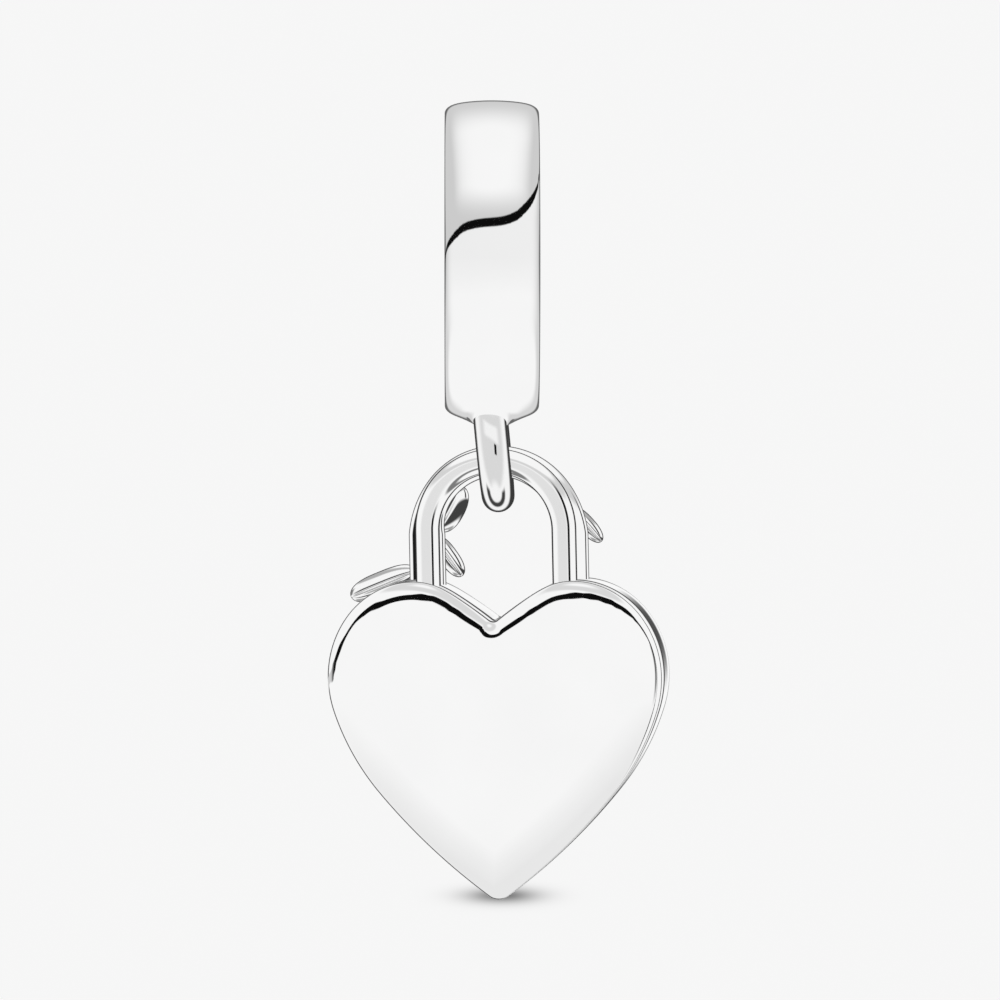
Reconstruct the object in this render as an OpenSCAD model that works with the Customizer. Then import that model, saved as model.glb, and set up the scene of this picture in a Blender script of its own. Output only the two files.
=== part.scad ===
// Dangle charm: a wide plain ring bail with a soldered wire loop, and a heart
// shaped padlock whose shackle hangs in the loop. All silver, sizes in millimetres.
// The origin is the centre of the bail's bore, +X runs along the bore, +Z is up,
// and the plain engraving face of the heart looks along -Y.

/* [Bail] */
// Outer diameter of the bail, across the crown of the band
bail_d = 9.7; // [9.2:0.1:10.2]
// Width of the band along the bore
bail_w = 2.87; // [2.6:0.01:3.1]
// Diameter of the bore that a bracelet runs through
bore_d = 4.8; // [4.4:0.1:5.2]
// Radius of the shallow crown across the band
crown_r = 5; // [4.5:0.1:8]
// Radius of the band's outer edges
band_edge_r = 0.34; // [0.25:0.01:0.4]
// Radius of the bore's rims
bore_rim_r = 0.3; // [0.2:0.01:0.35]
// How far the solder collar stands below the band
collar_drop = 0.2; // [0.15:0.01:0.25]

/* [Loop] */
// Diameter of the loop's wire
loop_wire_d = 0.98; // [0.9:0.01:1]
// Radius of the hole through the loop
loop_hole_r = 1.22; // [1.2:0.01:1.26]
// Height of the lowest point of the loop's hole
loop_seat_z = -6.75; // [-6.78:0.01:-6.74]
// Turn of the loop about the vertical
loop_twist = 0; // [-2:0.5:2]
// Sideways lean of the loop
loop_lean = -5.6; // [-6:0.1:0]

/* [Heart] */
// Distance from the heart's middle to the top of a lobe
lobe_x = 2.46; // [2.42:0.01:2.5]
// Height of the top of the lobes
lobe_z = -9.78; // [-9.9:0.01:-9.7]
// Thickness of the whole padlock body
heart_t = 2.87; // [2.7:0.01:3.1]
// Thickness of the back plate, from its face to the groove
plate_t = 0.8; // [0.79:0.01:0.85]
// Radius of the soft dome near the edge of a face
dome_r = 3.25; // [3:0.05:3.5]
// Slope at which the dome turns into the edge's own radius
dome_slope = 20; // [18:22]
// Radius of the edge
edge_r = 0.547; // [0.5:0.01:0.58]
// Depth of the groove that runs round the body
groove_depth = 0.09; // [0.05:0.01:0.12]
// Width of the groove
groove_w = 0.14; // [0.1:0.01:0.2]
// Sideways place of the heart's middle
heart_x = 0.09; // [0.05:0.01:0.15]
// Distance of the body's mid plane behind the bail's middle
heart_y = 0.02; // [-0.03:0.01:0.05]
// Turn of the padlock about the vertical as it hangs
heart_twist = -9.7; // [-10:0.1:-6]
// Sideways lean of the padlock as it hangs
heart_lean = -1.2; // [-1.5:0.1:0]

/* [Shackle] */
// Sideways place of the shackle on the heart
shackle_x = 0.04; // [0:0.01:0.08]
// Radius of the shackle's band to its outer edge
shackle_outer_r = 2.79; // [2.75:0.01:2.85]
// Radius of the shackle's band to its inner edge
shackle_inner_r = 1.66; // [1.6:0.01:1.7]
// Height of the centre of the shackle's bend
shackle_bend_z = -8.37; // [-8.4:0.01:-8.34]
// Thickness of the shackle's band, front to back
shackle_band_t = 0.8; // [0.7:0.01:0.84]
// Distance of the band's middle behind the body's mid plane
shackle_band_y = 0.18; // [0.16:0.01:0.2]
// Radius of the round rod on the near side of the band
rod_r = 0.38; // [0.34:0.01:0.39]
// Radius of the rod's bend
rod_bend_r = 2.122; // [2.1:0.01:2.15]
// Height of the centre of the rod's bend
rod_bend_z = -8.26; // [-8.28:0.01:-8.24]
// Distance of the rod's middle in front of the body's mid plane
rod_y = -0.3; // [-0.32:0.01:-0.28]

/* [Vine] */
// Radius of the vine's stem
stem_r = 0.17; // [0.15:0.01:0.19]
// Distance of the vine's middle behind the body's mid plane
vine_y = 0.59; // [0.56:0.01:0.62]

/* [Hidden] */

silver = [0.86, 0.86, 0.87];
fine = 96;
wire_sides = 16;
ball_sides = 12;
overlap = 0.02;

bail_r = bail_d / 2;
bore_r = bore_d / 2;
half_w = bail_w / 2;

// The collar is a shallow cone below the band, as wide as the band at its top.
collar_top_r = 1.26;
collar_foot_r = 0.5;
collar_top_z = -(bail_r - 0.45);
collar_foot_z = -(bail_r + collar_drop);

// The padlock leans about a point inside the loop.
lean_z = -6;

loop_wire_r = loop_wire_d / 2;
loop_z = loop_seat_z + loop_hole_r;
loop_ring_r = loop_hole_r + loop_wire_r;
// The loop leans about its top, so its lowest point sits right of the bail's middle.
loop_top_x = -0.127;

// Half of the heart's outline is a chain of arcs, each tangent to the next, from the
// notch over the lobe to the tip. ARC_R is an arc's radius and ARC_END the direction
// of the outward normal where it ends. A small round closes the notch in the middle.
ARC_R = 0;
ARC_END = 1;
arcs = [
    [13.6, 122.3], // long slope that falls to the notch
    [3.94, 115.4], // start of the lobe
    [1.94, 90], // inner half of the lobe's crest
    [2.52, 70.9], // outer half of the crest
    [2.69, 36.8], // shoulder
    [3.14, 0], // upper flank
    [3.43, -17.7], // lower flank
    [7.48, -39.5], // start of the long side
    [18.97, -53.6], // long side
];
CREST_ARC = 2;
SIDE_ARC = len(arcs) - 1;
tip_normal = -90;
arc_steps = [3, 2, 5, 4, 6, 6, 4, 4, 5];
tip_steps = 3;
notch_steps = 3;
notch_r = 0.08;

function dir(a) = [cos(a), sin(a)];

// Centre of arc i, found by walking along the chain from the crest of the lobe.
function arc_centre(i) =
    i == CREST_ARC ? [lobe_x, -arcs[i][ARC_R]]
    : i < CREST_ARC
        ? arc_centre(i + 1) + (arcs[i + 1][ARC_R] - arcs[i][ARC_R]) * dir(arcs[i][ARC_END])
        : arc_centre(i - 1) + (arcs[i - 1][ARC_R] - arcs[i][ARC_R]) * dir(arcs[i - 1][ARC_END]);

// Direction of the normal where the side, moved inwards by inset, meets the middle.
function side_meet(inset) = -acos(-arc_centre(SIDE_ARC)[0] / (arcs[SIDE_ARC][ARC_R] - inset));

// The tip's own small arc closes the chain on the middle line.
side_end = arc_centre(SIDE_ARC) + arcs[SIDE_ARC][ARC_R] * dir(arcs[SIDE_ARC][ARC_END]);
tip_r = side_end[0] / cos(arcs[SIDE_ARC][ARC_END]);
tip_centre = side_end - tip_r * dir(arcs[SIDE_ARC][ARC_END]);

// The notch's round touches the first arc on both sides, and grows with the inset.
first_centre = arc_centre(0);
notch_z = first_centre[1]
    + sqrt(pow(arcs[0][ARC_R] + notch_r, 2) - first_centre[0] * first_centre[0]);
notch_turn = atan2(first_centre[1] - notch_z, first_centre[0]);
function notch_points(inset) =
    [for (k = [0 : notch_steps - 1])
        [0, notch_z] + (notch_r + inset) * dir(-90 + (notch_turn + 90) * k / notch_steps)];

function arc_start(i) = i == 0 ? notch_turn + 180 : arcs[i - 1][ARC_END];

// Points of arc number i, moved inwards by inset, in even steps up to its end.
function arc_points(i, inset, a1, steps) =
    let(c = arc_centre(i), r = arcs[i][ARC_R] - inset, a0 = arc_start(i))
    [for (k = [0 : steps - 1]) c + r * dir(a0 + (a1 - a0) * k / steps)];

// The last stretch: the side and the round tip, or the side alone where the inset
// is so deep that the tip's arc is gone and the two sides meet in a point.
function tip_points(inset) =
    inset >= tip_r - overlap
        ? let(meet = side_meet(inset), steps = arc_steps[SIDE_ARC] + tip_steps)
            concat(
                arc_points(SIDE_ARC, inset, meet, steps),
                [arc_centre(SIDE_ARC) + (arcs[SIDE_ARC][ARC_R] - inset) * dir(meet)]
            )
        : let(a0 = arcs[SIDE_ARC][ARC_END])
            concat(
                arc_points(SIDE_ARC, inset, a0, arc_steps[SIDE_ARC]),
                [for (k = [0 : tip_steps])
                    tip_centre + (tip_r - inset) * dir(a0 + (tip_normal - a0) * k / tip_steps)]
            );

// Right half of the outline, moved inwards by inset, from the notch to the tip.
function half_outline(inset) = concat(
    notch_points(inset),
    [for (i = [0 : SIDE_ARC - 1])
        for (p = arc_points(i, inset, arcs[i][ARC_END], arc_steps[i])) p],
    tip_points(inset)
);

// Whole outline, clockwise from the notch as the camera side sees it.
function outline(inset) =
    let(right = half_outline(inset), last = len(right) - 1)
    concat(right, [for (i = [last - 1 : -1 : 1]) [-right[i][0], right[i][1]]]);

// The edge's profile: rows of inset and depth, from the face to the full outline.
dome_w = dome_r * sin(dome_slope);
round_w = edge_r * (1 - sin(dome_slope));
edge_w = dome_w + round_w;
dome_steps = 4;
round_steps = 5;
function face_edge() = concat(
    [for (k = [0 : dome_steps - 1]) let(a = dome_slope * k / dome_steps)
        [edge_w - dome_r * sin(a), dome_r * (1 - cos(a))]],
    [for (k = [0 : round_steps])
        let(a = dome_slope + (90 - dome_slope) * k / round_steps)
        [edge_r * (1 - sin(a)),
         dome_r * (1 - cos(dome_slope)) + edge_r * (cos(dome_slope) - cos(a))]]
);
INSET = 0;
DEPTH = 1;
groove_rows = [
    [0, plate_t - groove_w / 2],
    [groove_depth, plate_t - groove_w / 5],
    [groove_depth, plate_t + groove_w / 5],
    [0, plate_t + groove_w / 2]
];
near_rows = face_edge();
last_row = len(near_rows) - 1;
profile = concat(
    near_rows,
    groove_rows,
    [for (k = [last_row : -1 : 0]) [near_rows[k][INSET], heart_t - near_rows[k][DEPTH]]]
);

// Closed solid through the same outline at each row of a profile.
module loft(rows) {
    rings = [for (row = rows) [for (p = outline(row[INSET])) [p[0], row[DEPTH], p[1]]]];
    n = len(rings[0]);
    m = len(rings);
    points = [for (ring = rings) for (p = ring) p];
    sides = [for (j = [0 : m - 2]) for (i = [0 : n - 1])
        [j * n + i, (j + 1) * n + i, (j + 1) * n + (i + 1) % n, j * n + (i + 1) % n]];
    near = [for (i = [0 : n - 1]) i];
    far = [for (i = [n - 1 : -1 : 0]) (m - 1) * n + i];
    polyhedron(points, concat([near], sides, [far]));
}

module heart_body() {
    translate([0, -heart_t / 2, lobe_z]) loft(profile);
}

// Round wire bent in an arch with straight legs that end at foot_z.
module arch_wire(bend_r, bend_z, foot_z, wire_r, depth) {
    translate([0, depth, bend_z]) rotate([90, 0, 0])
        rotate_extrude(angle = 180, $fn = 48) translate([bend_r, 0])
            circle(wire_r, $fn = wire_sides);
    for (side = [-1, 1])
        translate([side * bend_r, depth, foot_z]) cylinder(r = wire_r, h = bend_z - foot_z, $fn = wire_sides);
}

// The shackle's band: an arch with an oval section.
module arch_band(foot_z) {
    mid_r = (shackle_outer_r + shackle_inner_r) / 2;
    section = [(shackle_outer_r - shackle_inner_r) / 2, shackle_band_t / 2];
    band_bend_z = shackle_bend_z - 0.03;
    translate([0, shackle_band_y, band_bend_z]) rotate([90, 0, 0])
        rotate_extrude(angle = 180, $fn = 48) translate([mid_r, 0])
            scale([section[0] * 0.84, section[1]]) circle(1, $fn = wire_sides);
    for (side = [-1, 1])
        translate([side * mid_r, shackle_band_y, foot_z])
            linear_extrude(band_bend_z - foot_z) scale(section) circle(1, $fn = wire_sides);
}

module shackle() {
    foot_z = lobe_z - 0.9;
    translate([shackle_x, 0, 0]) {
        arch_band(foot_z);
        arch_wire(rod_bend_r, rod_bend_z, foot_z, rod_r, rod_y);
    }
}

// A full leaf from its root to its rounded tip, thickest in the middle.
module leaf(root, tip, width, tip_r) {
    span = tip - root;
    length = norm(span);
    turn = atan2(span[2], span[0]);
    translate(root) rotate([0, -turn, 0])
        hull() {
            sphere(leaf_root_r, $fn = ball_sides);
            translate([length / 2, 0, 0]) scale([length / 4, leaf_t / 2, width / 2])
                sphere(1, $fn = wire_sides);
            translate([length - tip_r, 0, 0]) scale([1, leaf_tip_flat, 1])
                sphere(tip_r, $fn = ball_sides);
        }
}

// Places of the leaves on the padlock: root, tip, width and radius of the tip.
LEAF_ROOT = 0;
LEAF_TIP = 1;
LEAF_WIDTH = 2;
LEAF_TIP_R = 3;
leaves = [
    [[-1.79, 0.54, -8.23], [-1.12, 0.62, -7.04], 0.82, 0.14], // inside the left leg, upper
    [[-1.97, 0.55, -8.57], [-1.23, 0.63, -9.71], 0.6, 0.16], // inside the left leg, lower
    [[2.27, 0.54, -7.7], [3.13, 0.61, -8.66], 0.52, 0.13], // outside the right leg
    [[-2.75, 0.81, -9.62], [-4.74, 0.79, -10.35], 0.76, 0.26], // over the left shoulder
];
leaf_t = 0.44;
leaf_root_r = 0.12;
leaf_tip_flat = 0.6;

// The vine's stem winds along the far side of the shackle.
stem_steps = 7;
stem_low_z = lobe_z - 0.3;
stem_top_z = shackle_bend_z + 1.1;
stem_wave = 0.34;
function stem_point(side, k) =
    let(t = k / stem_steps, z = stem_low_z + (stem_top_z - stem_low_z) * t,
        lift = max(0, z - shackle_bend_z),
        r = (shackle_outer_r + shackle_inner_r) / 2)
    [side * (sqrt(r * r - lift * lift) + stem_wave * sin(360 * t)), vine_y, z];

module stem(side) {
    for (k = [0 : stem_steps - 1])
        hull() {
            translate(stem_point(side, k)) sphere(stem_r, $fn = ball_sides);
            translate(stem_point(side, k + 1)) sphere(stem_r, $fn = ball_sides);
        }
}

module vine() {
    for (side = [-1, 1]) stem(side);
    for (one = leaves)
        leaf(one[LEAF_ROOT], one[LEAF_TIP], one[LEAF_WIDTH], one[LEAF_TIP_R]);
}

// The band's section is drawn across the bore and turned round it.
module band_section() {
    edge_x = half_w - band_edge_r;
    middle_r = crown_r - band_edge_r;
    edge_reach = bail_r - crown_r + sqrt(middle_r * middle_r - edge_x * edge_x);
    touch_x = edge_x * crown_r / middle_r;
    difference() {
        union() {
            translate([bore_r, -half_w]) square([edge_reach - bore_r, bail_w]);
            for (side = [-1, 1])
                translate([edge_reach, side * edge_x]) circle(band_edge_r, $fn = fine);
            intersection() {
                translate([edge_reach - overlap, -touch_x]) square([bail_r, 2 * touch_x]);
                translate([bail_r - crown_r, 0]) circle(crown_r, $fn = fine);
            }
        }
        for (side = [-1, 1])
            translate([bore_r, side * half_w]) rotate(45) square(bore_rim_r, center = true);
    }
}

module band() {
    rotate([0, 90, 0]) rotate_extrude($fn = fine) band_section();
}

module collar() {
    translate([0, 0, collar_foot_z])
        cylinder(h = collar_top_z - collar_foot_z, r1 = collar_foot_r, r2 = collar_top_r, $fn = fine);
}

module loop_ring() {
    translate([loop_top_x, 0, loop_z + loop_ring_r]) rotate([0, loop_lean, loop_twist])
        translate([0, 0, -loop_ring_r]) rotate([0, 90, 0])
            rotate_extrude($fn = fine) translate([loop_ring_r, 0]) circle(loop_wire_r, $fn = fine);
}

module bail() {
    color(silver) union() {
        band();
        collar();
        loop_ring();
    }
}

module heart_padlock() {
    color(silver)
        translate([heart_x, heart_y, lean_z])
            rotate([0, heart_lean, heart_twist])
                translate([0, 0, -lean_z])
                    union() {
                        heart_body();
                        shackle();
                        vine();
                    }
}

bail();
heart_padlock();
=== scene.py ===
"""Looks of a silver dangle charm: a ring bail with its loop, and a heart padlock.

Lengths in the tables below are millimetres; meshes are made in metres.
"""

import math

import bmesh
import bpy
import numpy as np
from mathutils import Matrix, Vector


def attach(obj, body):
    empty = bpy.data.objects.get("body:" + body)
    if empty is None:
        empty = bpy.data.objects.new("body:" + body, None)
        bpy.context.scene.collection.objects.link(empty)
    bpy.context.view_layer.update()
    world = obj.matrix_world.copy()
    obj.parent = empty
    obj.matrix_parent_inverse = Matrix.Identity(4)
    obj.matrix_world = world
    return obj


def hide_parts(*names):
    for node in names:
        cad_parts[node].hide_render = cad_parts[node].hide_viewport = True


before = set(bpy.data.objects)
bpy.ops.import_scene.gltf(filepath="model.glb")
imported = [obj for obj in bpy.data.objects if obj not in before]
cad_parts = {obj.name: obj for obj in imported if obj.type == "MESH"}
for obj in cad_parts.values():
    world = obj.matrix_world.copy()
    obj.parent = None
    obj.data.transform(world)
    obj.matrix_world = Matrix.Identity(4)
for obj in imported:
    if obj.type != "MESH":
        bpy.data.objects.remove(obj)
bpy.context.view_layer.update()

MM = 0.001

# Dimensions

# Angles are degrees. A turn is the slope that an edge has gained before it rolls
# over, and its power says how suddenly it then does.
BAIL_R = 4.85
BORE_R = 2.4
BAND_HALF_W = 1.435
CROWN_TURN = 13.0
CROWN_POWER = 7.0
BORE_RIM_R = 0.3
BAND_TURN = 1.0
BAND_SHIFT_X = 0.01
# rows of a rolled edge, spaced evenly by slope and by length
CROWN_ROWS = (40, 24)
BORE_WALL_ROWS = 10
BORE_RIM_ROWS = 9
BORE_ROWS = 8
# the ring is divided finely where it carries the collar
FINE_HALF = 36.0
FINE_STEPS = 240
COARSE_STEPS = 180

# solder between band and loop: a low hill, capped so that the shackle clears it
COLLAR_HEIGHT = 0.37
COLLAR_REACH_X = 0.486
COLLAR_FLAT_Y = 1.2
COLLAR_REACH_Y = 0.45
COLLAR_CAP = 0.28
CAP_SHARP = 40.0
FILLET_HEIGHT = 0.14
FILLET_REACH = 0.16
# the collar lifts only the band's outer face: its depth, how it fades in, its span
COLLAR_ZONE = 0.5
COLLAR_FADE = 0.3
COLLAR_SPAN = 0.63

WIRE_R = 0.5
RING_R = 1.71
RING_TOP = (-0.127, 0.0, -3.82)
RING_LEAN = -5.6
RING_SHOULDER = 0.4
RING_STEPS = 240
# a small start angle keeps the steps off the shoulder's steepest place
RING_START = 0.01
RING_PROBES = 721
PROBE_START = 0.002
WIRE_SIDES = 72

LOBE_X = 2.46
LOBE_Z = -9.78
HEART_T = 2.87
PLATE_T = 0.8
PLATE_EDGE_W = 1.47
PLATE_TURN = 30.0
PLATE_POWER = 6.0
GROOVE_DEPTH = 0.13
GROOVE_W = 0.1
BODY_EDGE_R = 0.42
BODY_EDGE_START = 40.0
WALL_BULGE = 0.08
NEAR_ROWS = (30, 24)
FAR_ROWS = (14, 8)
GROOVE_ROWS = 8
BODY_EDGE_ROWS = 16
WALL_ROWS = 16
NOTCH_R = 0.22
# how far the rolled edge is drawn in towards the notch
NOTCH_REACH = 1.2
NOTCH_STEEP = 0.42
PADLOCK_SHIFT = (0.09, 0.02, 0.0)
PADLOCK_TWIST = -9.7
PADLOCK_LEAN = -1.2
LEAN_Z = -6.0
# radius of each arc of the outline and the direction of its normal where it ends
ARCS = [
    (13.6, 122.3),
    (3.94, 115.4),
    (1.94, 90.0),
    (2.52, 70.9),
    (2.69, 36.8),
    (3.14, 0.0),
    (3.43, -17.7),
    (7.48, -39.5),
    (18.97, -53.6),
]
CREST_ARC = 2
SIDE_ARC = len(ARCS) - 1

SHACKLE_X = 0.04
BAND_MID_R = 2.225
BAND_LEG_HALF = 0.565
BAND_BEND_HALF = 0.475
BAND_HALF_T = 0.4
BAND_BEND_Z = -8.4
BAND_Y = 0.18
ROD_R = 0.38
ROD_BEND_R = 2.122
ROD_BEND_Z = -8.26
ROD_Y = -0.3
FOOT_Z = -10.7
ARCH_TAPER = 1.6
LEG_STEPS = 24
BEND_STEPS = 120
ARCH_SIDES = 56

# Mesh helpers


def add_mesh(name, verts_mm, faces):
    """A smooth-shaded object from points in millimetres, its faces turned outwards."""
    mesh = bpy.data.meshes.new(name)
    mesh.from_pydata([tuple(v) for v in np.asarray(verts_mm) * MM], [], faces)
    mesh.validate()
    solid = bmesh.new()
    solid.from_mesh(mesh)
    bmesh.ops.recalc_face_normals(solid, faces=solid.faces)
    solid.to_mesh(mesh)
    solid.free()
    mesh.polygons.foreach_set("use_smooth", [True] * len(mesh.polygons))
    mesh.update()
    piece = bpy.data.objects.new(name, mesh)
    bpy.context.scene.collection.objects.link(piece)
    return piece


def grid_faces(rows, cols, close_rows=False, offset=0):
    """Quads of rows x cols points stored row by row, each row a closed section."""
    out = []
    for j in range(rows if close_rows else rows - 1):
        here, there = offset + j * cols, offset + (j + 1) % rows * cols
        for i in range(cols):
            i2 = (i + 1) % cols
            out.append((here + i, there + i, there + i2, here + i2))
    return out


def rot_z(points, degrees):
    a = math.radians(degrees)
    c, s = math.cos(a), math.sin(a)
    p = np.asarray(points, float)
    return np.stack(
        [p[..., 0] * c - p[..., 1] * s, p[..., 0] * s + p[..., 1] * c, p[..., 2]], -1
    )


def rot_y(points, degrees):
    a = math.radians(degrees)
    c, s = math.cos(a), math.sin(a)
    p = np.asarray(points, float)
    return np.stack(
        [p[..., 0] * c + p[..., 2] * s, p[..., 1], p[..., 2] * c - p[..., 0] * s], -1
    )


def padlock_place(points):
    """From the padlock's own frame to the part's."""
    pivot = np.array([0.0, 0.0, LEAN_Z])
    leaned = rot_y(np.asarray(points, float) - pivot, PADLOCK_LEAN)
    return rot_z(leaned, PADLOCK_TWIST) + pivot + np.array(PADLOCK_SHIFT)


class Parts:
    """Collects closed grids and tubes into one mesh."""

    def __init__(self):
        self.verts = []
        self.faces = []
        self.count = 0

    def grid(self, points, close_rows=False):
        rows, cols = points.shape[:2]
        self.faces += grid_faces(rows, cols, close_rows, self.count)
        self.verts.append(points.reshape(-1, 3))
        first = self.count
        self.count += rows * cols
        return first

    def tube(self, points):
        """A grid whose rows run round a section, with both ends closed."""
        rows, cols = points.shape[:2]
        first = self.grid(points)
        last = first + (rows - 1) * cols
        self.faces.append(tuple(range(first, first + cols)))
        self.faces.append(tuple(range(last + cols - 1, last - 1, -1)))

    def mesh(self, name, place=None):
        points = np.concatenate(self.verts)
        return add_mesh(name, place(points) if place else points, self.faces)


def section_turn(sides):
    return np.linspace(0, 2 * math.pi, sides, endpoint=False)


def sweep(line, across, depth, half_across, half_depth, sides):
    """Points of an oval section carried along a line."""
    turn = section_turn(sides)
    return (
        line[:, None, :]
        + half_across[:, None, None] * np.cos(turn)[None, :, None] * across[:, None, :]
        + half_depth[:, None, None] * np.sin(turn)[None, :, None] * depth[:, None, :]
    )


# Bail


def rolled_edge(turn, power, steps=2001):
    """A profile that rolls over from flat to square, ever faster, with its slope."""
    along = np.linspace(0, 1, steps)
    slope = np.radians(turn * along + (90.0 - turn) * along**power)
    half = along[1] * 0.5
    cosine, sine = np.cos(slope), np.sin(slope)
    run = np.concatenate([[0.0], np.cumsum(cosine[1:] + cosine[:-1]) * half])
    drop = np.concatenate([[0.0], np.cumsum(sine[1:] + sine[:-1]) * half])
    return along, np.degrees(slope), run / run[-1], drop / run[-1]


def rolled_rows(turn, power, rows):
    """Run and drop of a rolled edge of width 1 at its rows."""
    along, slope, run, drop = rolled_edge(turn, power)
    by_slope, by_length = rows
    pick = np.interp(np.linspace(0, 90, by_slope), slope, along)
    pick = np.unique(np.round(np.concatenate([pick, np.linspace(0, 1, by_length)]), 5))
    return np.interp(pick, along, run), np.interp(pick, along, drop)


def band_profile():
    """Closed section of the band as points (x, r), outer face first."""
    run, drop = rolled_rows(CROWN_TURN, CROWN_POWER, CROWN_ROWS)
    half_x = run * BAND_HALF_W
    half_r = BAIL_R - drop * BAND_HALF_W
    out = [(-a, b) for a, b in zip(half_x[::-1], half_r[::-1])][:-1]
    out += list(zip(half_x, half_r))
    outer = len(out)
    rim_r = BORE_R + BORE_RIM_R
    for r in np.linspace(half_r[-1], rim_r, BORE_WALL_ROWS)[1:]:
        out.append((BAND_HALF_W, r))
    rim_x = BAND_HALF_W - BORE_RIM_R
    for a in np.linspace(0, math.pi / 2, BORE_RIM_ROWS)[1:]:
        out.append(
            (rim_x + BORE_RIM_R * math.cos(a), rim_r - BORE_RIM_R * math.sin(a))
        )
    for x in np.linspace(rim_x, 0, BORE_ROWS)[1:-1]:
        out.append((x, BORE_R))
    half = out[outer:]
    out.append((0.0, BORE_R))
    out += [(-x, r) for x, r in reversed(half)]
    return np.array(out)


def ring_curve(phi):
    """Middle line of the loop's wire, and the frame of its section."""
    sine, cosine = np.sin(phi), np.cos(phi)
    full = np.where(cosine > 0, np.sign(sine) * np.abs(sine) ** RING_SHOULDER, sine)
    centre_line = np.stack(
        [np.zeros_like(phi), RING_R * full, RING_R * (cosine - 1)], -1
    )
    rise = np.where(
        cosine > 0, RING_SHOULDER * cosine * np.abs(sine) ** (RING_SHOULDER - 1), cosine
    )
    outward = np.stack([np.zeros_like(phi), sine, rise], -1)
    outward /= np.linalg.norm(outward, axis=-1)[:, None]
    sideways = np.broadcast_to(np.array([1.0, 0.0, 0.0]), outward.shape)

    line, outward, sideways = (
        rot_y(v, RING_LEAN) for v in (centre_line, outward, sideways)
    )
    return line + np.array(RING_TOP), outward, sideways


def distance_to_ring(points):
    phi = np.linspace(0, 2 * math.pi, RING_PROBES) + PROBE_START
    line, _, _ = ring_curve(phi)
    best = np.full(points.shape[:-1], 1e9)
    for p in line:
        best = np.minimum(best, np.linalg.norm(points - p, axis=-1))
    return best - WIRE_R


def collar_lift(points):
    """How far the solder stands out of the band's outer face at each point."""
    past = np.maximum(np.abs(points[..., 1]) - COLLAR_FLAT_Y, 0)
    lift = COLLAR_HEIGHT * np.exp(
        -0.5 * (points[..., 0] / COLLAR_REACH_X) ** 2 - 0.5 * (past / COLLAR_REACH_Y) ** 2
    )
    soft = np.exp(-CAP_SHARP * lift) + math.exp(-CAP_SHARP * COLLAR_CAP)
    lift = np.maximum(-np.log(soft) / CAP_SHARP, 0)
    gap = np.maximum(distance_to_ring(points), 0)
    return lift + FILLET_HEIGHT * np.exp(-((gap / FILLET_REACH) ** 2))


def make_bail():
    profile = band_profile()
    fine = np.radians(np.linspace(-FINE_HALF, FINE_HALF, FINE_STEPS))
    coarse = np.radians(np.linspace(FINE_HALF, 360 - FINE_HALF, COARSE_STEPS))[1:-1]
    theta = np.concatenate([fine, coarse])
    x = np.broadcast_to(profile[:, 0], (len(theta), len(profile)))
    r = np.broadcast_to(profile[:, 1], (len(theta), len(profile)))
    zero = np.zeros_like(theta)
    down = np.stack([zero, np.sin(theta), -np.cos(theta)], -1)[:, None, :]
    points = np.stack([x, np.zeros_like(x), np.zeros_like(x)], -1) + r[..., None] * down
    inner = BAIL_R - COLLAR_ZONE
    outer = (r > inner) & (np.abs(theta) < COLLAR_SPAN)[:, None]
    lift = np.zeros_like(r)
    lift[outer] = collar_lift(points[outer])
    fade = np.clip((r - inner) / COLLAR_FADE, 0, 1)
    points = points + (lift * fade)[..., None] * down
    parts = Parts()
    parts.grid(
        rot_z(points, BAND_TURN) + np.array([BAND_SHIFT_X, 0.0, 0.0]), close_rows=True
    )
    return parts.mesh("bail_silver")


def make_loop():
    phi = section_turn(RING_STEPS) + RING_START
    line, outward, sideways = ring_curve(phi)
    wire = np.full(len(phi), WIRE_R)
    parts = Parts()
    parts.grid(sweep(line, outward, sideways, wire, wire, WIRE_SIDES), close_rows=True)
    return parts.mesh("loop_silver")


# Heart body


def arc_centres():
    centres = [None] * len(ARCS)
    centres[CREST_ARC] = np.array([LOBE_X, -ARCS[CREST_ARC][0]])
    for i in range(CREST_ARC - 1, -1, -1):
        a = math.radians(ARCS[i][1])
        step = ARCS[i + 1][0] - ARCS[i][0]
        centres[i] = centres[i + 1] + step * np.array([math.cos(a), math.sin(a)])
    for i in range(CREST_ARC + 1, len(ARCS)):
        a = math.radians(ARCS[i - 1][1])
        step = ARCS[i - 1][0] - ARCS[i][0]
        centres[i] = centres[i - 1] + step * np.array([math.cos(a), math.sin(a)])
    return centres


CENTRES = arc_centres()
SIDE_NORMAL = math.radians(ARCS[SIDE_ARC][1])
SIDE_END = CENTRES[SIDE_ARC] + ARCS[SIDE_ARC][0] * np.array(
    [math.cos(SIDE_NORMAL), math.sin(SIDE_NORMAL)]
)
TIP_R = SIDE_END[0] / math.cos(SIDE_NORMAL)
TIP_CENTRE_Z = SIDE_END[1] - TIP_R * math.sin(SIDE_NORMAL)
NOTCH_Z = CENTRES[0][1] + math.sqrt((ARCS[0][0] + NOTCH_R) ** 2 - CENTRES[0][0] ** 2)
NOTCH_TURN = math.degrees(math.atan2(CENTRES[0][1] - NOTCH_Z, CENTRES[0][0]))
ARC_STEPS = [48, 16, 32, 26, 44, 40, 20, 24, 60]
TIP_STEPS = 16
NOTCH_STEPS = 12
LEAST_TIP_R = 0.04


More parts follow.
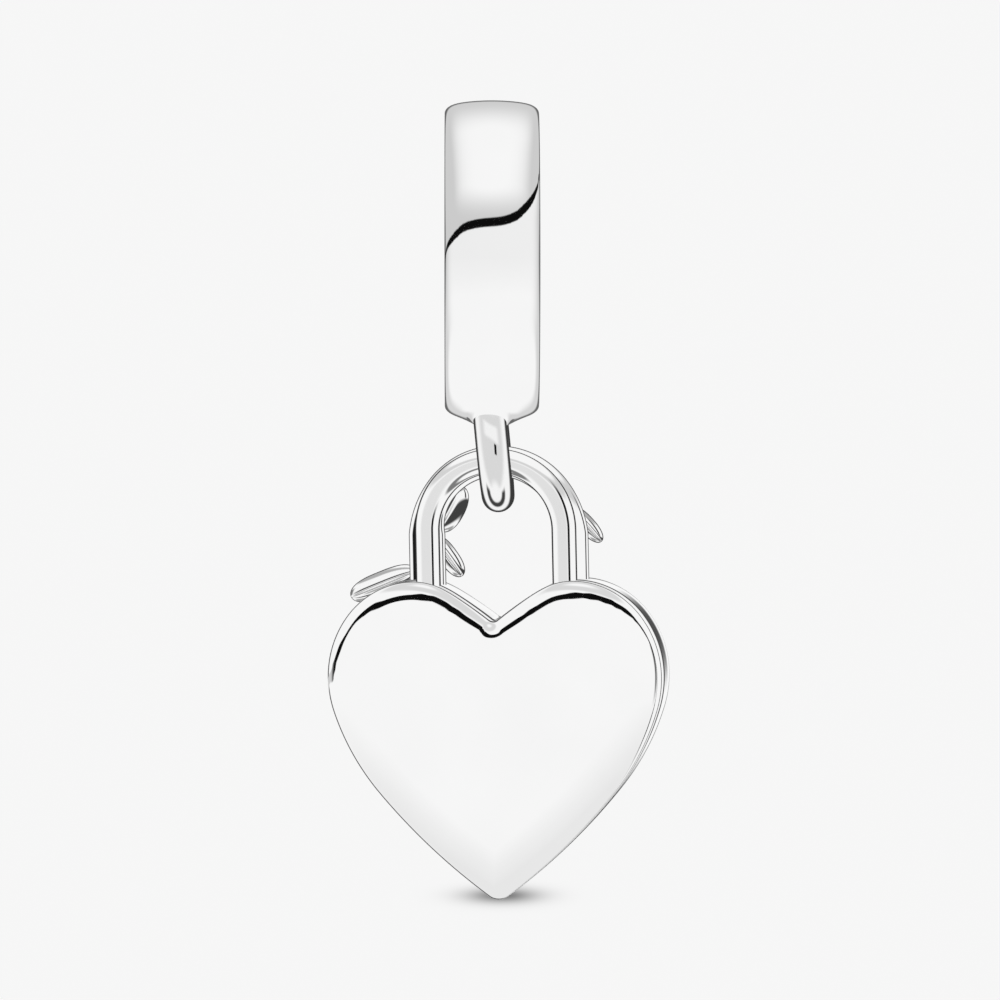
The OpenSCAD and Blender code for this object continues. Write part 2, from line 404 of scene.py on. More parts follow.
def half_outline(inset):
    """Right half of the heart's outline moved inwards, from the notch to the tip."""
    out = []
    side_r = ARCS[SIDE_ARC][0] - inset
    cx, cz = CENTRES[SIDE_ARC]
    tip_r = max(TIP_R - inset, LEAST_TIP_R)
    if TIP_R - inset >= LEAST_TIP_R:
        tip_z = TIP_CENTRE_Z
        side_end = ARCS[SIDE_ARC][1]
    else:
        tip_z = cz - math.sqrt((side_r - tip_r) ** 2 - cx**2)
        side_end = math.degrees(math.atan2(tip_z - cz, -cx))
    for k in range(NOTCH_STEPS):
        a = math.radians(-90.0 + (NOTCH_TURN + 90.0) * k / NOTCH_STEPS)
        r = NOTCH_R + inset
        out.append((r * math.cos(a), NOTCH_Z + r * math.sin(a)))
    for i, (radius, end) in enumerate(ARCS):
        r = radius - inset
        c = CENTRES[i]
        start = NOTCH_TURN + 180.0 if i == 0 else ARCS[i - 1][1]
        stop = side_end if i == SIDE_ARC else end
        for k in range(ARC_STEPS[i]):
            a = math.radians(start + (stop - start) * k / ARC_STEPS[i])
            out.append((c[0] + r * math.cos(a), c[1] + r * math.sin(a)))
    for k in range(TIP_STEPS + 1):
        a = math.radians(side_end + (-90.0 - side_end) * k / TIP_STEPS)
        out.append((tip_r * math.cos(a), tip_z + tip_r * math.sin(a)))
    return np.array(out)


def outline(inset):
    right = half_outline(inset)
    right[0, 0] = 0.0
    right[-1, 0] = 0.0
    left = right[-2:0:-1] * np.array([-1.0, 1.0])
    return np.concatenate([right, left])


def edge_rows(rows):
    """Inset and depth of the rows from the flat face to the full outline."""
    run, drop = rolled_rows(PLATE_TURN, PLATE_POWER, rows)
    return list(zip(PLATE_EDGE_W * (1 - run), PLATE_EDGE_W * drop))


def heart_profile():
    """Rows of inset and depth right round the body's section, from face to face."""
    near, far = edge_rows(NEAR_ROWS), edge_rows(FAR_ROWS)
    rows = list(near)
    last = near[-1][1]
    valley = PLATE_T - GROOVE_W / 2
    for u in np.linspace(0, 1, GROOVE_ROWS)[1:]:
        a = u * math.pi / 2
        rows.append(
            (GROOVE_DEPTH * (1 - math.cos(a)), last + (valley - last) * math.sin(a))
        )
    start = math.radians(BODY_EDGE_START)
    wall = PLATE_T + GROOVE_W / 2 + BODY_EDGE_R * math.cos(start)
    for a in np.linspace(start, math.pi / 2, BODY_EDGE_ROWS):
        rows.append((BODY_EDGE_R * (1 - math.sin(a)), wall - BODY_EDGE_R * math.cos(a)))
    wall_end = HEART_T - far[-1][1]
    for d in np.linspace(wall, wall_end, WALL_ROWS)[1:-1]:
        rows.append((0.0, d))
    rows += [(i, HEART_T - d) for i, d in reversed(far)]
    middle = (wall + wall_end) / 2
    half = (wall_end - wall) / 2 + BODY_EDGE_R
    bulged = []
    for k, (inset, d) in enumerate(rows):
        past = max(0.0, (d - middle) / half) if k > len(near) else 0.0
        bulged.append((inset + WALL_BULGE * past * past, d))
    return bulged


def make_heart():
    rings = []
    full = outline(0.0)
    drawn = NOTCH_STEEP * np.exp(-((full[:, 0] / NOTCH_REACH) ** 2))
    drawn = drawn * (full[:, 1] > TIP_CENTRE_Z / 2)
    for inset, depth in heart_profile():
        line = outline(inset)
        line = line + (full - line) * drawn[:, None]
        y = np.full(len(line), depth - HEART_T / 2)
        rings.append(np.stack([line[:, 0], y, line[:, 1] + LOBE_Z], -1))
    parts = Parts()
    parts.tube(np.array(rings))
    return parts.mesh("heart_silver", padlock_place)


# Shackle and vine


def arch_path(bend_r, bend_z):
    """Middle line of an arch from the left foot to the right, with outward normals."""
    pts, nrm, leg = [], [], []
    for z in np.linspace(FOOT_Z, bend_z, LEG_STEPS, endpoint=False):
        pts.append((-bend_r, z))
        nrm.append((-1.0, 0.0))
        leg.append(1.0)
    for a in np.linspace(math.pi, 0, BEND_STEPS + 1):
        pts.append((bend_r * math.cos(a), bend_z + bend_r * math.sin(a)))
        nrm.append((math.cos(a), math.sin(a)))
        leg.append(max(0.0, 1 - ARCH_TAPER * math.sin(a)))
    for z in np.linspace(bend_z, FOOT_Z, LEG_STEPS + 1)[1:]:
        pts.append((bend_r, z))
        nrm.append((1.0, 0.0))
        leg.append(1.0)
    return np.array(pts), np.array(nrm), np.array(leg)


def make_arch(name, bend_r, bend_z, half_leg, half_bend, half_t, depth):
    pts, nrm, leg = arch_path(bend_r, bend_z)
    half = half_bend + (half_leg - half_bend) * leg**2
    turn = section_turn(ARCH_SIDES)
    radial = half[:, None] * np.cos(turn)[None, :]
    x = pts[:, 0][:, None] + radial * nrm[:, 0][:, None]
    z = pts[:, 1][:, None] + radial * nrm[:, 1][:, None]
    y = np.broadcast_to(depth + half_t * np.sin(turn), x.shape)
    parts = Parts()
    parts.tube(np.stack([x, y, z], -1) + np.array([SHACKLE_X, 0.0, 0.0]))
    return parts.mesh(name, padlock_place)


def make_shackle_band():
    return make_arch(
        "shackle_band_silver",
        BAND_MID_R,
        BAND_BEND_Z,
        BAND_LEG_HALF,
        BAND_BEND_HALF,
        BAND_HALF_T,
        BAND_Y,
    )


def make_shackle_rod():
    return make_arch(
        "shackle_rod_silver", ROD_BEND_R, ROD_BEND_Z, ROD_R, ROD_R, ROD_R, ROD_Y
    )


# root, tip, width and fullness of each leaf, in the padlock's frame
LEAVES = [
    ((-1.86, 0.55, -8.35), (-1.1, 0.6, -6.98), 0.84, 2.3),
    ((-2.05, 0.55, -8.5), (-1.2, 0.65, -9.74), 0.62, 2.6),
    ((2.25, 0.55, -7.65), (3.17, 0.6, -8.7), 0.54, 2.4),
    ((-2.66, 0.8, -9.56), (-4.74, 0.8, -10.37), 0.78, 3.0),
]
LEAF_T = 0.46
LEAF_ROUND = 1 / 2.1
LEAF_THIN = 0.8
LEAF_LEAST = 0.004
LEAF_ROWS = 64
LEAF_SIDES = 64
# the folded vein: depth as a share of the half thickness, place and width across
LEAF_CREASE = 0.42
CREASE_PLACE = 0.12
CREASE_WIDTH = 0.16
CREASE_FADE = 0.5
# the two stems climb the band's far side and wave once on the way
STEM_R = 0.17
STEM_Y = 0.6
STEM_FOOT_Z = LOBE_Z - 0.3
STEM_BEND_Z = -8.37
STEM_RISE = 1.1
STEM_WAVE = 0.34
STEM_END = 0.25
STEM_TAPER = 0.4
STEM_ENDS = (0.03, 0.97)
STEM_STEPS = 80
STEM_SIDES = 24
TOWARDS_BACK = [0.0, 1.0, 0.0]


def leaf_points(root, tip, width, full):
    """A full leaf with a folded vein along it on both faces."""
    root, tip = np.array(root), np.array(tip)
    along = tip - root
    length = np.linalg.norm(along)
    along /= length
    across = np.cross(along, TOWARDS_BACK)
    across /= np.linalg.norm(across)
    depth = np.cross(across, along)
    u = 0.5 - 0.5 * np.cos(np.linspace(0, math.pi, LEAF_ROWS))
    shape = np.clip(1 - np.abs(2 * u - 1) ** full, 0, 1) ** LEAF_ROUND
    turn = section_turn(LEAF_SIDES)
    half_w = np.maximum(width / 2 * shape, LEAF_LEAST)
    half_t = np.maximum(LEAF_T / 2 * shape**LEAF_THIN, LEAF_LEAST)[:, None]
    fold = np.exp(-(((np.cos(turn)[None, :] - CREASE_PLACE) / CREASE_WIDTH) ** 2))
    fade = np.sin(math.pi * u)[:, None] ** CREASE_FADE
    crease = LEAF_CREASE * half_t * fold * fade
    lift = half_t * np.sin(turn)[None, :]
    lift = lift - np.sign(np.sin(turn))[None, :] * crease
    return (
        root
        + u[:, None, None] * length * along
        + half_w[:, None, None] * np.cos(turn)[None, :, None] * across
        + lift[..., None] * depth
    )


def stem_points(side):
    t = np.linspace(0, 1, STEM_STEPS)
    z = STEM_FOOT_Z + (STEM_BEND_Z + STEM_RISE - STEM_FOOT_Z) * t
    lift = np.maximum(0, z - STEM_BEND_Z)
    wave = STEM_WAVE * np.sin(2 * math.pi * t)
    x = side * (np.sqrt(BAND_MID_R**2 - lift**2) + wave)
    line = np.stack([x, np.full(STEM_STEPS, STEM_Y), z], -1)
    tangent = np.gradient(line, axis=0)
    tangent /= np.linalg.norm(tangent, axis=1)[:, None]
    across = np.cross(tangent, TOWARDS_BACK)
    across /= np.linalg.norm(across, axis=1)[:, None]
    depth = np.cross(across, tangent)
    swell = np.sin(math.pi * np.clip(t, *STEM_ENDS)) ** STEM_TAPER
    taper = STEM_R * (STEM_END + (1 - STEM_END) * swell)
    return sweep(line, across, depth, taper, taper, STEM_SIDES)


def make_vine():
    parts = Parts()
    for leaf in LEAVES:
        parts.tube(leaf_points(*leaf))
    for side in (-1, 1):
        parts.tube(stem_points(side))
    return parts.mesh("vine_silver", padlock_place)


# Materials


SILVER = 0.94
SILVER_SPREAD = 0.012
ROUGH_LOW = 0.012
ROUGH_HIGH = 0.05
# the part of a noise's range that is spread over a material's own range
NOISE_LOW = 0.3
NOISE_HIGH = 0.7
# scale, detail, stretch along z and turn of each noise
TONE_NOISE = (260.0, 4.0, 1.0, 0.0)
SMEAR_NOISE = (900.0, 6.0, 0.4, 0.5)
SCRATCH_NOISE = (2600.0, 3.0, 0.06, 0.9)
GRAIN_NOISE = (14000.0, 2.0, 1.0, 0.0)
# depth of the relief in metres
SCRATCH_BUMP = 0.00000004
GRAIN_BUMP = 0.00000005


def link_grey(tree, level, socket):
    """Link one level to a colour socket as a grey."""
    colour = tree.nodes.new("ShaderNodeCombineColor")
    for channel in ("Red", "Green", "Blue"):
        tree.links.new(level, colour.inputs[channel])
    tree.links.new(colour.outputs["Color"], socket)


def silver_material(name):
    """Polished silver with faint tone, buffing smears, hairline scratches and grain."""
    mat = bpy.data.materials.new(name)
    mat.use_nodes = True
    nodes, links = mat.node_tree.nodes, mat.node_tree.links
    shader = nodes["Principled BSDF"]
    shader.inputs["Metallic"].default_value = 1.0
    place = nodes.new("ShaderNodeTexCoord")

    def noise(scale, detail, stretch, turn):
        mapping = nodes.new("ShaderNodeMapping")
        mapping.inputs["Scale"].default_value = (1.0, 1.0, stretch)
        mapping.inputs["Rotation"].default_value = (0.0, turn, turn)
        links.new(place.outputs["Object"], mapping.inputs["Vector"])
        node = nodes.new("ShaderNodeTexNoise")
        node.inputs["Scale"].default_value = scale
        node.inputs["Detail"].default_value = detail
        links.new(mapping.outputs["Vector"], node.inputs["Vector"])
        return node.outputs["Fac"]

    def spread(fac, low, high):
        node = nodes.new("ShaderNodeMapRange")
        links.new(fac, node.inputs["Value"])
        node.inputs["From Min"].default_value = NOISE_LOW
        node.inputs["From Max"].default_value = NOISE_HIGH
        node.inputs["To Min"].default_value = low
        node.inputs["To Max"].default_value = high
        return node.outputs["Result"]

    def bump(height, distance):
        node = nodes.new("ShaderNodeBump")
        node.inputs["Strength"].default_value = 1.0
        node.inputs["Distance"].default_value = distance
        links.new(height, node.inputs["Height"])
        return node

    tone = spread(noise(*TONE_NOISE), SILVER - SILVER_SPREAD, SILVER + SILVER_SPREAD)
    link_grey(mat.node_tree, tone, shader.inputs["Base Color"])
    rough = spread(noise(*SMEAR_NOISE), ROUGH_LOW, ROUGH_HIGH)
    links.new(rough, shader.inputs["Roughness"])
    scratch = bump(noise(*SCRATCH_NOISE), SCRATCH_BUMP)
    grain = bump(noise(*GRAIN_NOISE), GRAIN_BUMP)
    links.new(scratch.outputs["Normal"], grain.inputs["Normal"])
    links.new(grain.outputs["Normal"], shader.inputs["Normal"])
    return mat


# Light


class Value:
    """A number in a node tree, with arithmetic."""

    def __init__(self, tree, socket):
        self.tree = tree
        self.socket = socket

    def math(self, operation, *others):
        node = self.tree.nodes.new("ShaderNodeMath")
        node.operation = operation
        self.tree.links.new(self.socket, node.inputs[0])
        for k, other in enumerate(others):
            if isinstance(other, Value):
                self.tree.links.new(other.socket, node.inputs[k + 1])
            else:
                node.inputs[k + 1].default_value = other
        return Value(self.tree, node.outputs[0])

    def __add__(self, other):
        return self.math("ADD", other)

    def __sub__(self, other):
        return self.math("SUBTRACT", other)

    def __mul__(self, other):
        return self.math("MULTIPLY", other)

    def step(self, low, high):
        """Smooth rise from 0 at low to 1 at high."""
        node = self.tree.nodes.new("ShaderNodeMapRange")
        node.interpolation_type = "SMOOTHSTEP"
        self.tree.links.new(self.socket, node.inputs["Value"])
        node.inputs["From Min"].default_value = low
        node.inputs["From Max"].default_value = high
        return Value(self.tree, node.outputs[0])

    def ramp(self, stops, low, high, smooth=False):
        """Value read from a table of (place, level) between low and high."""
        fac = (self - low) * (1.0 / (high - low))
        node = self.tree.nodes.new("ShaderNodeValToRGB")
        self.tree.links.new(fac.socket, node.inputs["Fac"])
        ramp = node.color_ramp
        ramp.interpolation = "B_SPLINE" if smooth else "LINEAR"
        while len(ramp.elements) > 1:
            ramp.elements.remove(ramp.elements[0])
        for k, (place, level) in enumerate(stops):
            at = (place - low) / (high - low)
            if k == 0:
                item = ramp.elements[0]
                item.position = at
            else:
                item = ramp.elements.new(at)
            item.color = (level, level, level, 1)
        return Value(self.tree, node.outputs["Color"])


CAMERA_ELEVATION = 4.4
CAMERA_AZIMUTH = 0.7
CAMERA_DISTANCE = 225.0
CAMERA_AIM = (0.26, 0.0, -7.355)
FRAME_WIDTH = 30.58
SENSOR_WIDTH = 36.0
CLIP_START = 0.001
CLIP_END = 100.0
BACKDROP = 0.93
REFLECTANCE = 0.94

# Each piece is lit by a white tent of its own that stands close round the charm. The
# bail's and the heart's have one narrow dark gap that runs round them, the others have
# dark patches, and all are softly shaded behind. Azimuths are in degrees, 0 towards the
# camera and + to the right.
TENT_CENTRE = (0.0, 0.0, -5.0)
TENT_R = 70.0
TENT_STEP = 1.0
TENT_ROWS = 48
TENT_COLS = 96
WHITE = 0.92
BLACK = 0.004
GAP_SOFT = 0.5
# the elevations on both sides of the gap's line over which the wall changes
GAP_BLEND = (-1, 1)
# a colour ramp holds levels from 0 to 1: the degrees that its whole range stands for
GAP_RANGE = 180.0
HALF_RANGE = 10.0
# half width of the bail's gap by azimuth
BAIL_GAP_HALF = [
    (-180, 0.8),
    (-100, 1.0),
    (-80, 1.4),
    (-60, 2.0),
    (-40, 2.5),
    (-24, 2.9),
    (-10, 3.1),
    (10, 3.1),
    (22, 3.3),
    (40, 3.2),
    (62, 2.6),
    (80, 2.0),
    (108, 1.2),
    (180, 0.8),
]
# elevation of the gap by azimuth
BAIL_GAP = [
    (-180, 3.0),
    (-131, 4.0),
    (-100, 6.5),
    (-81, 8.9),
    (-61, 11.6),
    (-40, 15.5),
    (-24, 20.3),
    (-16, 23.7),
    (-9, 26.3),
    (-3, 27.5),
    (3, 27.9),
    (9, 29.0),
    (16, 32.7),
    (22, 35.9),
    (33, 38.8),
    (48, 39.9),
    (62, 39.3),
    (78, 37.2),
    (93, 33.5),
    (108, 28.4),
    (125, 26.0),
    (180, 4.0),
]
HEART_GAP = [
    (-180, -10.0),
    (-100, -11.0),
    (-87, -8.2),
    (-80, -3.0),
    (-75, 0.7),
    (-71, 5.5),
    (-68, 10.5),
    (-64, 16.3),
    (-60, 19.5),
    (-56, 21.6),
    (-50, 22.6),
    (-44, 23.6),
    (-38, 25.6),
    (-29, 29.0),
    (-20, 31.8),
    (-10, 34.8),
    (0, 37.6),
    (10, 38.4),
    (19, 38.5),
    (36, 37.9),
    (54, 32.3),
    (60, 24.5),
    (68, 16.5),
    (73, 7.0),
    (76, -5.0),
    (78, -17.0),
    (80, -28.0),
    (85, -35.0),
    (93, -40.0),
    (117, -43.5),
    (180, -45.0),
]
# half width of the heart's gap by azimuth
HEART_GAP_HALF = [
    (-180, 1.2),
    (-104, 2.0),
    (-90, 5.0),
    (-78, 6.5),
    (-66, 7.0),
    (-52, 6.2),
    (-44, 6.0),
    (-30, 6.4),
    (-16, 8.0),
    (24, 8.2),
    (44, 8.0),
    (58, 7.5),
    (72, 6.0),
    (84, 4.0),
    (96, 2.0),
    (110, 1.4),
    (180, 1.2),
]
# the overhead light of the bail's tent
LAMP_HALF_X = 0.48
LAMP_FRONT = 0.54
LAMP_FRONT_FADE = 3.16
LAMP_BACK = -0.083
LAMP_BACK_FADE = 1.36
LAMP_EDGE = (0.2, 1.1)
DUSK_LEVEL = 0.6
# levels under the gap by elevation
BAIL_WALL = [
    (-90, 0.92),
    (-22, 0.92),
    (-8, 0.88),
    (4, 0.85),
    (90, 0.845),
]
HEART_WALL = [
    (-90, 0.8),
    (-52, 0.8),
    (-38, 0.85),
    (-25, 0.92),
    (90, 0.92),
]
# A window is (low, rise, fall, high), and (low, high) rises with the distance from 0.
# the darker sides of the bail's wall
BAIL_SIDE_AZ = (35, 105)
BAIL_SIDE_EL = (-48, -30, 20, 40)
BAIL_SIDE_SHADE = 0.26
# the heart's outline, and its lightened stretch at the lower right
OUTLINE_RING = (0.46, 0.56, 1.05, 1.2)
OUTLINE_LEVEL = 0.07
LOW_RIGHT_AZ = (84, 96, 158, 170)
LOW_RIGHT_EL = (-32, -20)
LOW_RIGHT_SHARE = 0.7
# the heart's gap turns grey beyond these azimuths
GAP_GREY_AZ = (84, 104)
GAP_GREY = 0.6
# patches: azimuth window or None for all round, elevation window, what, amount
DIM, TO = "dim by", "change to"
HEART_DUSK = [(None, (46, 56, 68, 84), DIM, 0.24)]
HEART_STRIPE = [((60, 66, 70, 76), (-30, -12, 8, 12), TO, 0.05)]
BAND_PATCHES = [
    (None, (14, 24, 34, 44), DIM, 0.3),
    ((84, 89, 98, 103), (-30, -20, 16, 34), TO, 0.01),
    ((-98, -90, -54, -48), (-60, -44, 30, 48), TO, 0.01),
]
ROD_PATCHES = [
    (None, (18, 28, 36, 46), DIM, 0.28),
    ((-75, -50, 20, 40), (-45, -25, 12, 22), DIM, 0.18),
    ((34, 38, 54, 58), (-40, -20, 20, 40), TO, 0.01),
    (None, (-70, -62, -54, -46), TO, 0.2),
]
LOOP_PATCHES = [
    ((-95, -60, 60, 95), (-80, -60, 14, 34), DIM, 0.22),
    ((-60, -30, 30, 60), (-6, -2, 6, 10), DIM, -0.2),
    ((95, 115), (-66, -58, -50, -42), TO, 0.05),
    ((13, 16, 28, 31), (-23, -20, -7, -5), TO, 0.01),
]
VINE_PATCHES = [
    (None, (30, 40, 50, 62), DIM, 0.5),
    ((-80, -30, 181, 182), (-48, -36, -12, -2), TO, 0.05),
    (None, (-80, -72, -62, -54), TO, 0.35),
    ((40, 46, 60, 66), (-10, 0, 30, 44), TO, 0.03),
    ((-120, -110, -84, -70), (-30, -16, 10, 24), TO, 0.2),
]
LOOP_WHITE = 0.9
# shade behind: elevation, reach in azimuth and elevation, inner and outer edge, level
BAIL_BEHIND = (5.0, 82, 21, 0.75, 1.1, 0.13)
HEART_BEHIND = (-7.0, 46, 46, 0.24, 0.36, 0.1)
BAND_BEHIND = (-2.0, 50, 50, 0.8, 1.05, 0.08)
ROD_BEHIND = (-2.0, 62, 44, 0.8, 1.05, 0.03)
LOOP_BEHIND = (0.0, 66, 30, 0.75, 1.1, 0.04)
VINE_BEHIND = (-2.0, 74, 74, 0.75, 1.05, 0.05)


def tent_axes(tree, radius):
    """Rightward, forward, azimuth and elevation of a place on the tent's wall."""
    place = tree.nodes.new("ShaderNodeNewGeometry")
    split = tree.nodes.new("ShaderNodeSeparateXYZ")
    tree.links.new(place.outputs["Position"], split.inputs[0])
    x, y, z = (
        (Value(tree, split.outputs[k]) - TENT_CENTRE[k] * MM) * (1.0 / (radius * MM))
        for k in range(3)
    )
    e = math.radians(CAMERA_ELEVATION)
    forward = z * math.sin(e) - y * math.cos(e)
    up = y * math.sin(e) + z * math.cos(e)
    degrees = 180.0 / math.pi
    return x, forward, x.math("ARCTAN2", forward) * degrees, up.math("ARCSINE") * degrees


def window(value, edges):
    """1 inside a window, fading to 0 at its ends."""
    if len(edges) == 2:
        return value.math("ABSOLUTE").step(*edges)
    low, rise, fall, high = edges
    return value.step(low, rise) * (value.step(fall, high) * -1.0 + 1.0)


def mix(level, mask, to):
    return level + (level * -1.0 + to) * mask


def add_patches(level, az, el, patches):
    for az_window, el_window, change, amount in patches:
        mask = window(el, el_window)
        if az_window:
            mask = mask * window(az, az_window)
        level = level - mask * amount if change == DIM else mix(level, mask, amount)
    return level


def gap_mask(az, el, table, half_table):
    """The gap's elevation at each azimuth, and a mask that is 1 inside the gap."""
    stops = [(a, 0.5 + h / GAP_RANGE) for a, h in table]
    line = (az.ramp(stops, -180, 180, True) - 0.5) * GAP_RANGE
    halves = [(a, h / HALF_RANGE) for a, h in half_table]
    half = az.ramp(halves, -180, 180, True) * HALF_RANGE
    off = (el - line).math("ABSOLUTE") - half
    return line, (off * -1.0).step(-GAP_SOFT, GAP_SOFT)


def off_behind(az, el, behind):
    """0 straight behind the charm, 1 at the reaches sideways and up."""
    centre, reach_az, reach_el = behind[:3]
    a = (az.math("ABSOLUTE") * -1.0 + 180.0) * (1.0 / reach_az)
    b = (el - centre) * (1.0 / reach_el)
    return (a * a + b * b).math("SQRT")


def shade_behind(level, ring, behind):
    inner, outer, to = behind[3:]
    return mix(level, ring.step(inner, outer) * -1.0 + 1.0, to)


def bail_light(x, forward, az, el):
    line, gap = gap_mask(az, el, BAIL_GAP, BAIL_GAP_HALF)
    front = (forward - LAMP_FRONT) * LAMP_FRONT_FADE
    back = (forward * -1.0 + LAMP_BACK) * LAMP_BACK_FADE
    fade = front.math("MAXIMUM", back).math("MAXIMUM", 0.0)
    across = x * (1.0 / LAMP_HALF_X)
    away = (across * across + fade * fade).math("SQRT")
    above = away.step(*LAMP_EDGE) * (DUSK_LEVEL - WHITE) + WHITE
    side = window(az, BAIL_SIDE_AZ) * window(el, BAIL_SIDE_EL)
    wall = el.ramp(BAIL_WALL, -90, 90) - side * BAIL_SIDE_SHADE
    level = mix(wall, (el - line).step(*GAP_BLEND), above)
    level = shade_behind(level, off_behind(az, el, BAIL_BEHIND), BAIL_BEHIND)
    return mix(level, gap, BLACK)


def heart_light(x, forward, az, el):
    line, gap = gap_mask(az, el, HEART_GAP, HEART_GAP_HALF)
    level = el.ramp(HEART_WALL, -90, 90)
    level = mix(level, (el - line).step(*GAP_BLEND), WHITE)
    level = add_patches(level, az, el, HEART_DUSK)
    ring = off_behind(az, el, HEART_BEHIND)
    below = el.step(*LOW_RIGHT_EL) * -LOW_RIGHT_SHARE + LOW_RIGHT_SHARE
    low_right = window(az, LOW_RIGHT_AZ) * below
    outline_mask = window(ring, OUTLINE_RING) * (low_right * -1.0 + 1.0)
    level = mix(level, outline_mask, OUTLINE_LEVEL)
    level = shade_behind(level, ring, HEART_BEHIND)
    level = add_patches(level, az, el, HEART_STRIPE)
    tone = window(az, GAP_GREY_AZ) * GAP_GREY + BLACK
    return mix(level, gap, tone)


def patched_light(base, patches, behind):
    """A light of one even level with patches and a shade behind."""

    def light(x, forward, az, el):
        level = add_patches(el * 0.0 + base, az, el, patches)
        return shade_behind(level, off_behind(az, el, behind), behind)

    return light


def make_tent(name, number, light, piece):
    """A glowing shell that only mirror rays from its own piece can see."""
    radius = TENT_R + TENT_STEP * number
    up = np.linspace(-math.pi / 2, math.pi / 2, TENT_ROWS)[:, None]
    turn = section_turn(TENT_COLS)[None, :]
    points = radius * np.stack(
        [
            np.cos(up) * np.cos(turn),
            np.cos(up) * np.sin(turn),
            np.broadcast_to(np.sin(up), (TENT_ROWS, TENT_COLS)),
        ],
        -1,
    )
    parts = Parts()
    parts.grid(points + np.array(TENT_CENTRE))
    tent = parts.mesh(name)
    mat = bpy.data.materials.new(name + "_light")
    mat.use_nodes = True
    tree = mat.node_tree
    tree.nodes.clear()
    level = light(*tent_axes(tree, radius)) * (1.0 / REFLECTANCE)
    glow = tree.nodes.new("ShaderNodeEmission")
    tree.links.new(level.socket, glow.inputs["Strength"])
    clear = tree.nodes.new("ShaderNodeBsdfTransparent")
    both = tree.nodes.new("ShaderNodeAddShader")
    tree.links.new(glow.outputs[0], both.inputs[0])
    tree.links.new(clear.outputs[0], both.inputs[1])
    out = tree.nodes.new("ShaderNodeOutputMaterial")
    tree.links.new(both.outputs[0], out.inputs["Surface"])
    mat.cycles.emission_sampling = "NONE"
    tent.data.materials.append(mat)
    for kind in ("camera", "diffuse", "transmission", "volume_scatter", "shadow"):
        setattr(tent, "visible_" + kind, False)
    lit = bpy.data.collections.new(name + "_lights")
    lit.objects.link(piece)
    tent.light_linking.receiver_collection = lit


def make_world():
    world = bpy.data.worlds.new("studio")
    bpy.context.scene.world = world
    world.use_nodes = True
    sky = world.node_tree.nodes["Background"]
    sky.inputs["Color"].default_value = (1, 1, 1, 1)
    sky.inputs["Strength"].default_value = BACKDROP
    world.cycles_visibility.glossy = False


FLOOR_Z = -19.56
FLOOR_HALF = 20000.0
FLOOR_ALBEDO = 0.995
# soft contact shadow painted into the floor's colour under the tip: place, half sizes and
# depth
SHADE_X = 0.33
SHADE_Y = 0.2
SHADE_HALF_X = 1.15
SHADE_HALF_Y = 1.9
SHADE_DEPTH = 0.8


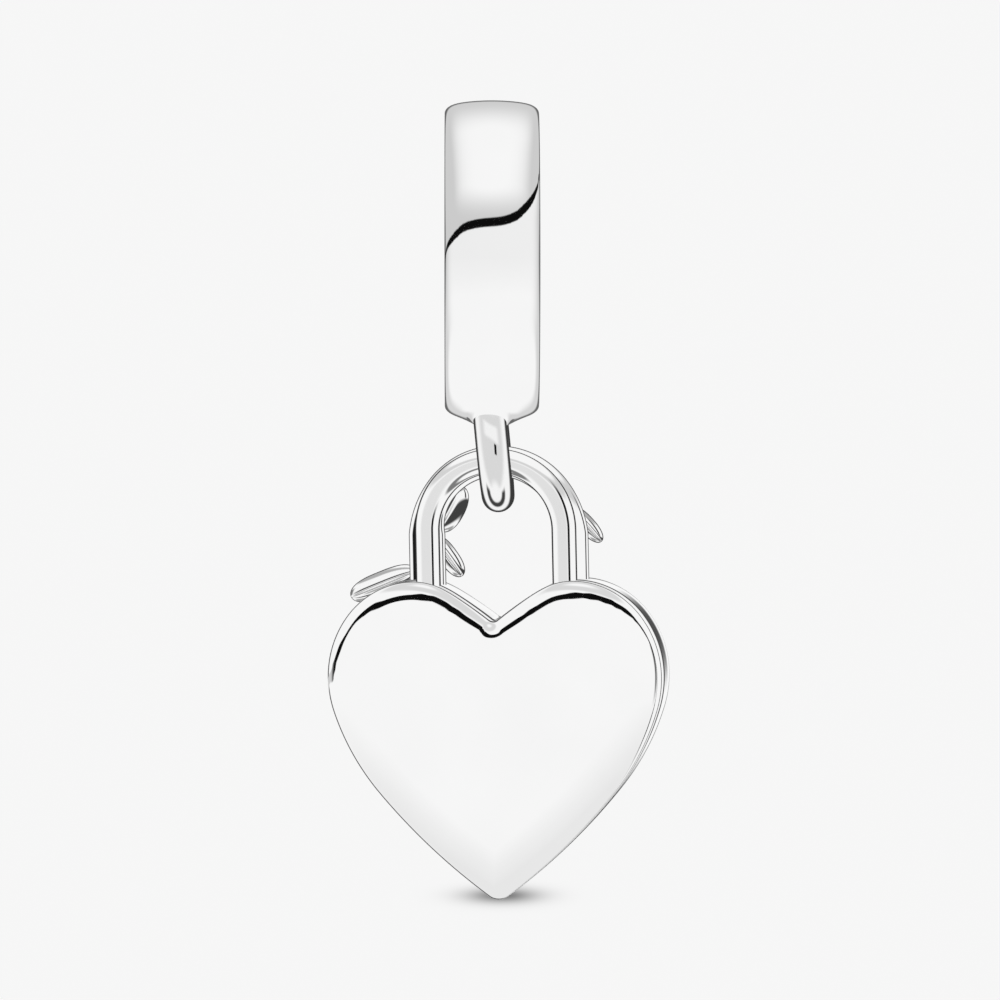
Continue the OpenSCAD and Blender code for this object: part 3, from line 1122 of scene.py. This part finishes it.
def make_floor():
    corners = ((-1, -1), (1, -1), (1, 1), (-1, 1))
    verts = [(FLOOR_HALF * x, FLOOR_HALF * y, FLOOR_Z) for x, y in corners]
    floor = add_mesh("floor", verts, [(0, 1, 2, 3)])
    mat = bpy.data.materials.new("floor_white_painted_shadow")
    mat.use_nodes = True
    shader = mat.node_tree.nodes["Principled BSDF"]
    tree = mat.node_tree
    place = tree.nodes.new("ShaderNodeNewGeometry")
    split = tree.nodes.new("ShaderNodeSeparateXYZ")
    tree.links.new(place.outputs["Position"], split.inputs[0])
    x, y = Value(tree, split.outputs[0]), Value(tree, split.outputs[1])
    # painted contact shadow: the floor's base colour darkens in a soft oval under the
    # tip, since the pieces cast no shadow
    across = (x - SHADE_X * MM) * (1.0 / (SHADE_HALF_X * MM))
    along = (y - SHADE_Y * MM) * (1.0 / (SHADE_HALF_Y * MM))
    away = across * across + along * along
    shade = (away * -1.0).math("EXPONENT") * SHADE_DEPTH
    tone = (shade * -1.0 + 1.0) * FLOOR_ALBEDO
    link_grey(tree, tone.socket, shader.inputs["Base Color"])
    shader.inputs["Roughness"].default_value = 1.0
    shader.inputs["Specular IOR Level"].default_value = 0.0
    floor.data.materials.append(mat)
    floor.visible_glossy = False


def make_camera():
    az = math.radians(CAMERA_AZIMUTH)
    el = math.radians(CAMERA_ELEVATION)
    aim = Vector(CAMERA_AIM) * MM
    flat = math.cos(el)
    way = Vector((math.sin(az) * flat, -math.cos(az) * flat, math.sin(el)))
    data = bpy.data.cameras.new("camera")
    data.sensor_width = SENSOR_WIDTH
    data.lens = SENSOR_WIDTH * CAMERA_DISTANCE / FRAME_WIDTH
    data.clip_start = CLIP_START
    data.clip_end = CLIP_END
    cam = bpy.data.objects.new("camera", data)
    cam.location = aim + way * CAMERA_DISTANCE * MM
    cam.rotation_euler = (-way).to_track_quat("-Z", "Y").to_euler()
    bpy.context.scene.collection.objects.link(cam)
    bpy.context.scene.camera = cam


# Assembly

make_camera()
make_world()
make_floor()

silver = silver_material("polished_silver")
bail = make_bail()
loop = make_loop()
heart = make_heart()
band = make_shackle_band()
rod = make_shackle_rod()
vine = make_vine()
band_light = patched_light(WHITE, BAND_PATCHES, BAND_BEHIND)
rod_light = patched_light(WHITE, ROD_PATCHES, ROD_BEHIND)
loop_light = patched_light(LOOP_WHITE, LOOP_PATCHES, LOOP_BEHIND)
vine_light = patched_light(WHITE, VINE_PATCHES, VINE_BEHIND)
for piece, body in (
    (bail, "bail"),
    (loop, "bail"),
    (heart, "heart_padlock"),
    (band, "heart_padlock"),
    (rod, "heart_padlock"),
    (vine, "heart_padlock"),
):
    piece.data.materials.append(silver)
    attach(piece, body)
    # the retouched photo has neither cast shadows nor pieces mirrored in each other
    for kind in ("glossy", "diffuse", "shadow"):
        setattr(piece, "visible_" + kind, False)
make_tent("bail_tent", 0, bail_light, bail)
make_tent("heart_tent", 1, heart_light, heart)
make_tent("band_tent", 2, band_light, band)
make_tent("rod_tent", 3, rod_light, rod)
make_tent("loop_tent", 4, loop_light, loop)
make_tent("vine_tent", 5, vine_light, vine)
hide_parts("bail")
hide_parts("heart_padlock")

scene = bpy.context.scene
scene.view_settings.view_transform = "Standard"
